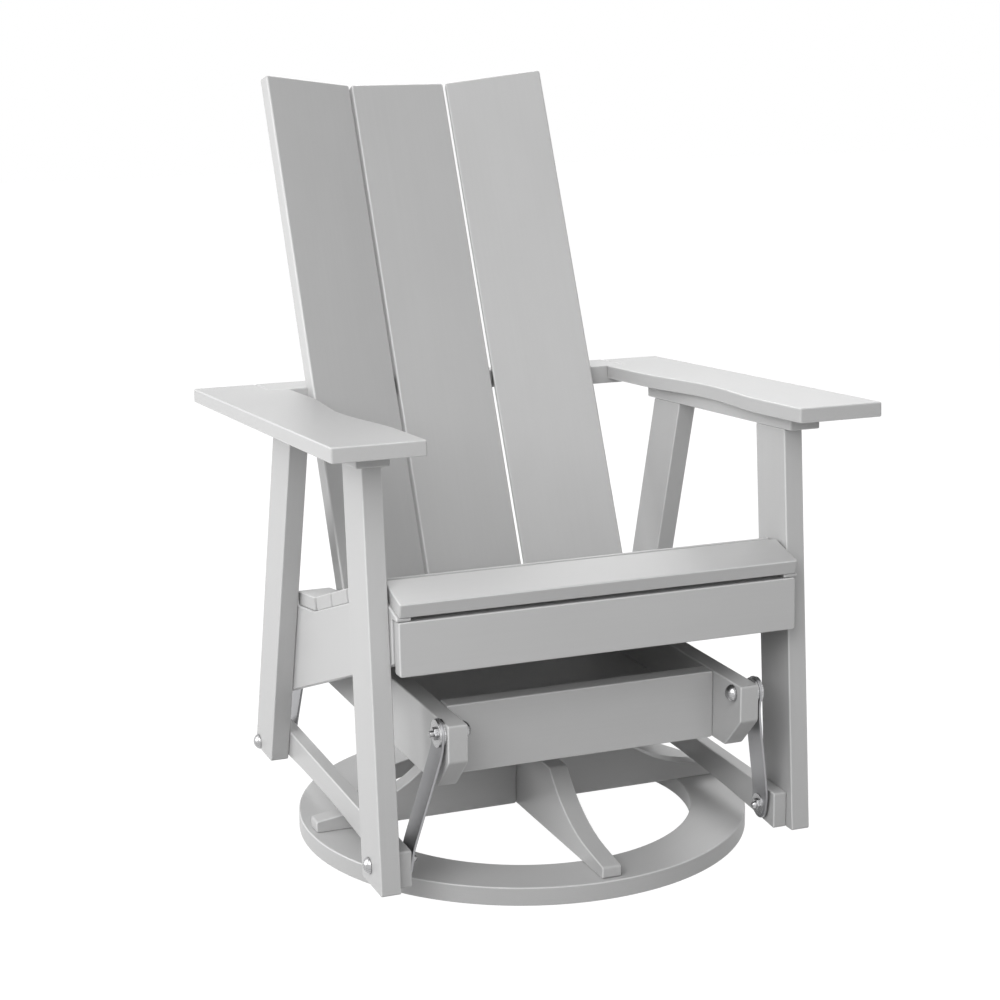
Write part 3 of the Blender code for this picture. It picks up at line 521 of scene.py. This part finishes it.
def turned_finish():
    """Bright turned steel: fine rings round the axis, and a painted reflection of light and dark rays out
    from it.
    """
    finish = Finish("stainless_steel", Metallic=1.0)
    rings = finish.noise(finish.feature("turned_place", "Vector"), (0.0004, 0.0004, 1.0), 3.0)
    rays = finish.noise(finish.feature("turned_ray", "Vector"), (0.05, 0.05, 1.0), 1.0)
    # Painted reflection: the rays lighten and darken the colour in sectors, as the sheen of turned steel
    # would.
    share = 0.5 + 0.6 * rings + 1.6 * rays
    finish.drive("Base Color", finish.blend(share, grey(0.24), (0.56, 0.56, 0.57, 1)))
    finish.drive("Roughness", 0.26 + 0.18 * rings + 0.1 * rays)
    finish.raise_surface(rings, 0.00012)
    return finish.material


def steel_finish(name, colour, roughness, lengths, place_feature):
    """Dull steel with fine marks of the given lengths, along the named feature or the object's axes."""
    finish = Finish(name, Metallic=1.0)
    if place_feature:
        place = finish.feature(place_feature, "Vector")
    else:
        place = finish.node("ShaderNodeTexCoord", {}, {}, "Object")
    marks = finish.noise(place, lengths, 3.0)
    clouds = finish.noise(place, (0.012, 0.012, 0.012), 2.0)
    dark = tuple(0.8 * part for part in colour)
    share = 0.6 + 0.8 * marks + 0.9 * clouds
    finish.drive("Base Color", finish.blend(share, (*dark, 1), (*colour, 1)))
    finish.drive("Roughness", roughness + 0.18 * marks + 0.15 * clouds)
    finish.raise_surface(marks, 0.00008)
    return finish.material


def bearing_finish():
    """Dark bearing plastic."""
    finish = Finish("bearing_plastic")
    place = finish.node("ShaderNodeTexCoord", {}, {}, "Object")
    clouds = finish.noise(place, (0.01, 0.01, 0.01), 3.0)
    finish.drive("Base Color", finish.blend(0.5 + clouds, grey(0.10), grey(0.16)))
    finish.drive("Roughness", 0.5 + 0.2 * clouds)
    return finish.material


# Turned and six-sided fasteners

def carried_round(rows):
    """Closed surface of rows carried round an axis, from the bottom up.

    Each row is a radius and a height, both either one number or one for each angle. The point of a
    row at angle a is (radius * cos a, radius * sin a, height). A point on the axis closes each end.
    """
    angles = np.linspace(0, 2 * math.pi, turned_steps, endpoint=False)
    radius, height = (np.stack([np.broadcast_to(row[part], angles.shape) for row in rows]) for part in (0, 1))
    rings = np.stack((radius * np.cos(angles), radius * np.sin(angles), height), axis=-1).reshape(-1, 3)
    poles = np.array(((0, 0, height[0, 0]), (0, 0, height[-1, 0])))
    column = np.arange(turned_steps)
    after = (column + 1) % turned_steps
    last = (len(rows) - 1) * turned_steps
    under = np.stack((np.full_like(column, len(rings)), after, column), axis=-1)
    over = np.stack((np.full_like(column, len(rings) + 1), last + column, last + after), axis=-1)
    faces = grid_faces(len(rows), turned_steps).tolist() + under.tolist() + over.tolist()
    turned = np.column_stack((radius.ravel(), height.ravel(), np.zeros(radius.size)))
    turned = np.concatenate((turned, poles[:, [0, 2, 1]]))
    ray = np.stack(np.broadcast_arrays(np.cos(angles), np.sin(angles), np.zeros(radius.shape)), axis=-1)
    ray = np.concatenate((ray.reshape(-1, 3), np.zeros((2, 3))))
    return np.concatenate((rings, poles)), faces, turned, ray


def six_sided(radius):
    """Radius of a hexagon at each angle: its inner radius / cos of the angle from the side's middle."""
    angles = np.linspace(0, 2 * math.pi, turned_steps, endpoint=False)
    side = math.pi / 3
    return radius * math.cos(side / 2) / np.cos((angles % side) - side / 2)


def disc_rows(radius, bottom, top):
    """Plain disc: one radius at two heights."""
    return [(radius, bottom), (radius, top)]


def nut_rows(bottom, top):
    """Hexagon whose upper corners lie on a cone: height = top - slope * (radius - face radius)."""
    sides = six_sided(nut_radius)
    face = nut_face_share * sides.min()
    shoulder = top - nut_chamfer_slope * (sides - face)
    return [(sides, bottom), (sides, shoulder), (face, top)]


def cap_nut_rows(bottom, top):
    """Nut closed by a dome: radius * cos t and height * sin t above it, for t up to a quarter turn."""
    turn = np.linspace(0, math.pi / 2, dome_steps, endpoint=False)
    dome = [(cap_radius * math.cos(t), top + cap_height * math.sin(t)) for t in turn]
    return nut_rows(bottom, top) + dome


def bolt_rows(reach):
    """Bolt from its chamfered end, at its reach below the head, up to a low dome on a slim rim.

    The dome is a ball's cap. A cap of radius r and height h is cut from a ball of radius
    (r^2 + h^2) / (2 * h).
    """
    end = -reach
    height = head_height - head_rim
    ball = (head_radius ** 2 + height ** 2) / (2 * height)
    widest = math.asin(head_radius / ball)
    turn = np.linspace(widest, 0, dome_steps, endpoint=False)
    cap = [(ball * math.sin(t), head_height - ball * (1 - math.cos(t))) for t in turn]
    return [(shank_radius - shank_chamfer, end), (shank_radius, end + shank_chamfer), (shank_radius, 0.0),
            (head_radius, 0.0), *cap]


def draw_fastener(node, seat, facing, row_groups, finish):
    """The node's bolt or nut, as one surface for each group of rows.

    The seat is the distance of height 0 from the chair's middle. Facing 1 points the top outwards, -1
    inwards.
    """
    low, high = (np.array(corner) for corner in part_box(node))
    middle = (low + high) / 2
    side = np.sign(middle[0])
    turn = np.array(((0, 1, 0), (0, 0, facing * side), (facing * side, 0, 0)))
    origin = np.array((side * seat, middle[1], middle[2]))
    made = [carried_round(rows) for rows in row_groups]
    starts = np.cumsum([0] + [len(part[0]) for part in made])
    points = np.concatenate([part[0] for part in made]) @ turn + origin
    faces = [[corner + start for corner in face] for part, start in zip(made, starts) for face in part[1]]
    features = {"turned_place": np.concatenate([part[2] for part in made]),
                "turned_ray": np.concatenate([part[3] for part in made])}
    piece = add_piece(node + "_turned", points, faces, features)
    round_edges(piece, metal_rounding, metal_rounding_steps)
    stand_for(piece, node, finish)


def sides_of(node):
    """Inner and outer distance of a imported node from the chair's middle."""
    low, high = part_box(node)
    return sorted((abs(low[0]), abs(high[0])))


def draw_upper_pivot(place, side, finish):
    """Washer and dome head inside the box, spacer between box and link, washer and nut outside it."""
    bolt, nut = ("upper_pivot_" + part + place + side for part in ("bolt_", "nut_"))
    strap_inner = sides_of(place[:-1] + "_link_" + side)[0]
    strap_outer = strap_inner + strap_thickness
    head_seat = sides_of(bolt)[0] + packed_head_height - head_washer_thickness
    board_outer = sides_of("glider_side_board_" + side)[1]
    nut_top = upper_washer_thickness + nut_height
    head_washer = disc_rows(head_washer_radius, -head_washer_thickness, 0)
    spacer = disc_rows(spacer_radius, head_seat - strap_inner, head_seat - board_outer)
    shank = bolt_rows(strap_outer + nut_top + stud_length - head_seat)
    draw_fastener(bolt, head_seat, -1, [shank, head_washer, spacer], finish)
    washer = disc_rows(upper_washer_radius, 0, upper_washer_thickness)
    draw_fastener(nut, strap_outer, 1, [washer, nut_rows(upper_washer_thickness, nut_top)], finish)


def draw_lower_pivot(place, side, finish):
    """Dome head outside the leg, washer and cap nut inside the link."""
    bolt, nut = ("lower_pivot_" + part + place + side for part in ("bolt_", "cap_nut_"))
    strap_inner = sides_of(place[:-1] + "_link_" + side)[1] - strap_thickness
    head_seat = sides_of(bolt)[1] - packed_head_height
    draw_fastener(bolt, head_seat, 1, [bolt_rows(head_seat - strap_inner + lower_washer_thickness)],
                  finish)
    washer = disc_rows(lower_washer_radius, 0, lower_washer_thickness)
    cap_nut = cap_nut_rows(lower_washer_thickness, lower_washer_thickness + nut_height)
    draw_fastener(nut, strap_inner, -1, [washer, cap_nut], finish)


def draw_pivots(finish):
    """Bolt and nut of all eight pivots."""
    for place in ("front_", "rear_"):
        for side in ("left", "right"):
            draw_upper_pivot(place, side, finish)
            draw_lower_pivot(place, side, finish)


# Bent links

def softly_clamped(share):
    """Share that rests at 0 below 0 and at 1 above 1, with soft bends.

    0.5 * (1 + sqrt(t^2 + e^2) - sqrt((1 - t)^2 + e^2)) for the share t and the softness e.
    """
    return 0.5 * (1 + np.hypot(share, bend_softness) - np.hypot(1 - share, bend_softness))


def eye_patch():
    """Flat grid round an eye at the origin: rings blended from the bore to the strap's outline.

    The outline is a straight cut across the strap at the eye's reach, its two straight edges and a
    half circle round the eye.
    """
    half = strap_width / 2
    across = np.linspace(-half, half, strap_columns + 1)
    cut = np.column_stack((np.full_like(across, eye_reach), across))
    back = np.linspace(eye_reach, 0, eye_side_steps + 1)[1:]
    one_edge = np.column_stack((back, np.full_like(back, half)))
    angles = np.linspace(math.pi / 2, 3 * math.pi / 2, eye_round_steps + 1)[1:]
    end = half * np.column_stack((np.cos(angles), np.sin(angles)))
    forth = back[::-1][1:]
    other_edge = np.column_stack((forth, np.full_like(forth, -half)))
    outline = np.concatenate((cut, one_edge, end, other_edge))
    bore = strap_bore * outline / np.linalg.norm(outline, axis=1)[:, None]
    share = np.linspace(0, 1, eye_rows)[:, None, None]
    flat = bore + share * (outline - bore)
    return flat.reshape(-1, 2), grid_faces(eye_rows, len(outline))


def link_sheet(length):
    """Flat middle sheet of a link between eyes at 0 and at its length."""
    eye, eye_faces = eye_patch()
    far_eye = eye * (-1, 1) + (length, 0)
    along = np.linspace(eye_reach, length - eye_reach, strap_rows + 1)
    across = np.linspace(-strap_width / 2, strap_width / 2, strap_columns + 1)
    strip = np.stack(np.meshgrid(along, across, indexing="ij"), axis=-1).reshape(-1, 2)
    row, column = np.meshgrid(np.arange(strap_rows), np.arange(strap_columns), indexing="ij")
    first = row * (strap_columns + 1) + column
    below = first + strap_columns + 1
    strip_faces = np.stack((first, below, below + 1, first + 1), axis=-1).reshape(-1, 4)
    faces = np.concatenate((eye_faces, eye_faces + len(eye), strip_faces + 2 * len(eye)))
    return np.concatenate((eye, far_eye, strip)), faces.tolist()


def draw_link(node, low_pivot, high_pivot, finish):
    """The node's link: a flat strap from eye to eye, moved outwards by two soft bends below the box."""
    sign = math.copysign(1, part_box(node)[0][0])
    near, far = sides_of(node)
    way = high_pivot - low_pivot
    length = np.linalg.norm(way)
    along = way / length
    across = np.array((-along[1], along[0]))
    sheet, faces = link_sheet(length)
    places = low_pivot + sheet[:, :1] * along + sheet[:, 1:] * across
    bend_low = low_pivot[1] + bottom_flat
    bend_high = high_pivot[1] - top_flat
    share = softly_clamped((places[:, 1] - bend_low) / (bend_high - bend_low))
    outward = far - strap_thickness / 2 + share * (near - far + strap_thickness)
    points = np.column_stack((sign * outward, places))
    features = {"strap_place": np.column_stack((sheet, outward))}
    piece = add_piece(node + "_strap", points, faces, features)
    merge_seams(piece)
    thicken = piece.modifiers.new("thickness", "SOLIDIFY")
    thicken.thickness = strap_thickness
    thicken.offset = 0
    round_edges(piece, strap_rounding, strap_rounding_steps)
    stand_for(piece, node, finish)


def box_middle(node):
    """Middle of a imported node's box, along the chair and up."""
    low, high = (np.array(corner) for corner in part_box(node))
    return ((low + high) / 2)[1:]


def draw_links(finish):
    """All four links, each from its lower bolt to the axis of its joint on the box."""
    for end, joint in (("front", "glide"), ("rear", "rear_swing")):
        high_pivot = joint_place[joint][1:]
        for side in ("left", "right"):
            low_pivot = box_middle("lower_pivot_bolt_" + end + "_" + side)
            draw_link(end + "_link_" + side, low_pivot, high_pivot, finish)


# Studio

def add_floor():
    """Pale floor that the camera sees as white, with the chair's soft shadow kept."""
    mesh = bpy.data.meshes.new("studio_floor")
    corners = [(-floor_reach, -floor_reach, 0), (floor_reach, -floor_reach, 0),
               (floor_reach, floor_reach, 0), (-floor_reach, floor_reach, 0)]
    mesh.from_pydata(corners, [], [(0, 1, 2, 3)])
    floor = bpy.data.objects.new("studio_floor", mesh)
    bpy.context.scene.collection.objects.link(floor)
    floor.location.z = -floor_gap
    paint = Finish("studio_floor", Base_Color=grey(floor_grey), Roughness=1.0, Specular_IOR_Level=0.0)
    glow = paint.node("ShaderNodeEmission", {}, {"Color": grey(1), "Strength": floor_glow})
    share = glow_share * paint.backdrop_rays()
    matt = Signal(paint, paint.shader.outputs[0])
    mixed = paint.node("ShaderNodeMixShader", {}, {0: share, 1: matt, 2: glow})
    paint.tree.links.new(mixed.socket, paint.tree.nodes["Material Output"].inputs["Surface"])
    mesh.materials.append(paint.material)


def add_world():
    """Even studio light, seen as white behind the chair and in its reflections."""
    nodes = Nodes(bpy.data.worlds.new("studio"))
    bpy.context.scene.world = nodes.owner
    strength = world_light + (1 - world_light) * nodes.backdrop_rays()
    back = nodes.tree.nodes["Background"]
    back.inputs["Color"].default_value = grey(1)
    nodes.tree.links.new(strength.socket, back.inputs["Strength"])


def add_lamp(name, place, power):
    """Square soft light that faces the chair."""
    lamp = bpy.data.lights.new(name, "AREA")
    lamp.shape = "SQUARE"
    lamp.size = lamp_size
    lamp.energy = power
    item = bpy.data.objects.new(name, lamp)
    bpy.context.scene.collection.objects.link(item)
    item.location = place
    item.rotation_euler = (Vector(lamp_aim) - Vector(place)).to_track_quat("-Z", "Y").to_euler()


def add_camera():
    """Camera that looks along the photograph's azimuth and elevation at a point over the swivel."""
    sine, cosine = math.sin(camera_azimuth), math.cos(camera_azimuth)
    level = math.cos(camera_elevation)
    forward = Vector((sine * level, cosine * level, -math.sin(camera_elevation)))
    right = Vector((cosine, -sine, 0))
    up = right.cross(forward)
    aim = right * camera_aim_right + Vector((0, joint_place["swivel"][1], camera_aim_height))
    turned_right = right * math.cos(camera_roll) + up * math.sin(camera_roll)
    turned_up = up * math.cos(camera_roll) - right * math.sin(camera_roll)
    data = bpy.data.cameras.new("camera")
    data.sensor_width = sensor_width
    data.lens = sensor_width * focal_share
    camera = bpy.data.objects.new("camera", data)
    bpy.context.scene.collection.objects.link(camera)
    turn = Matrix((turned_right, turned_up, -forward)).transposed().to_4x4()
    camera.matrix_world = Matrix.Translation(aim - forward * camera_distance) @ turn
    bpy.context.scene.camera = camera


add_camera()
lumber = lumber_finish()
for node_name, slot_name in slot_of_node.items():
    if slot_name == "lumber":
        draw_board(node_name, lumber)

stainless = turned_finish()
strap_steel = steel_finish("strap_steel", (0.36, 0.36, 0.37), 0.42, (0.12, 0.0006, 0.1), "strap_place")
swivel_steel = steel_finish("swivel_steel", (0.45, 0.45, 0.46), 0.38, (0.003, 0.003, 0.003), None)
draw_pivots(stainless)
draw_links(strap_steel)
bearing = bearing_finish()

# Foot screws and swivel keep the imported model's meshes and get a finish
finish_of_slot = {"stainless": swivel_steel, "swivel_steel": swivel_steel, "bearing": bearing}
for node_name, slot_name in slot_of_node.items():
    if slot_name in finish_of_slot:
        frame["nodes"][node_name].material_slots[0].material = finish_of_slot[slot_name]

add_floor()
add_world()
for lamp_name, (lamp_place, lamp_power) in lamps.items():
    add_lamp(lamp_name, lamp_place, lamp_power)
bpy.context.scene.view_settings.view_transform = "Standard"
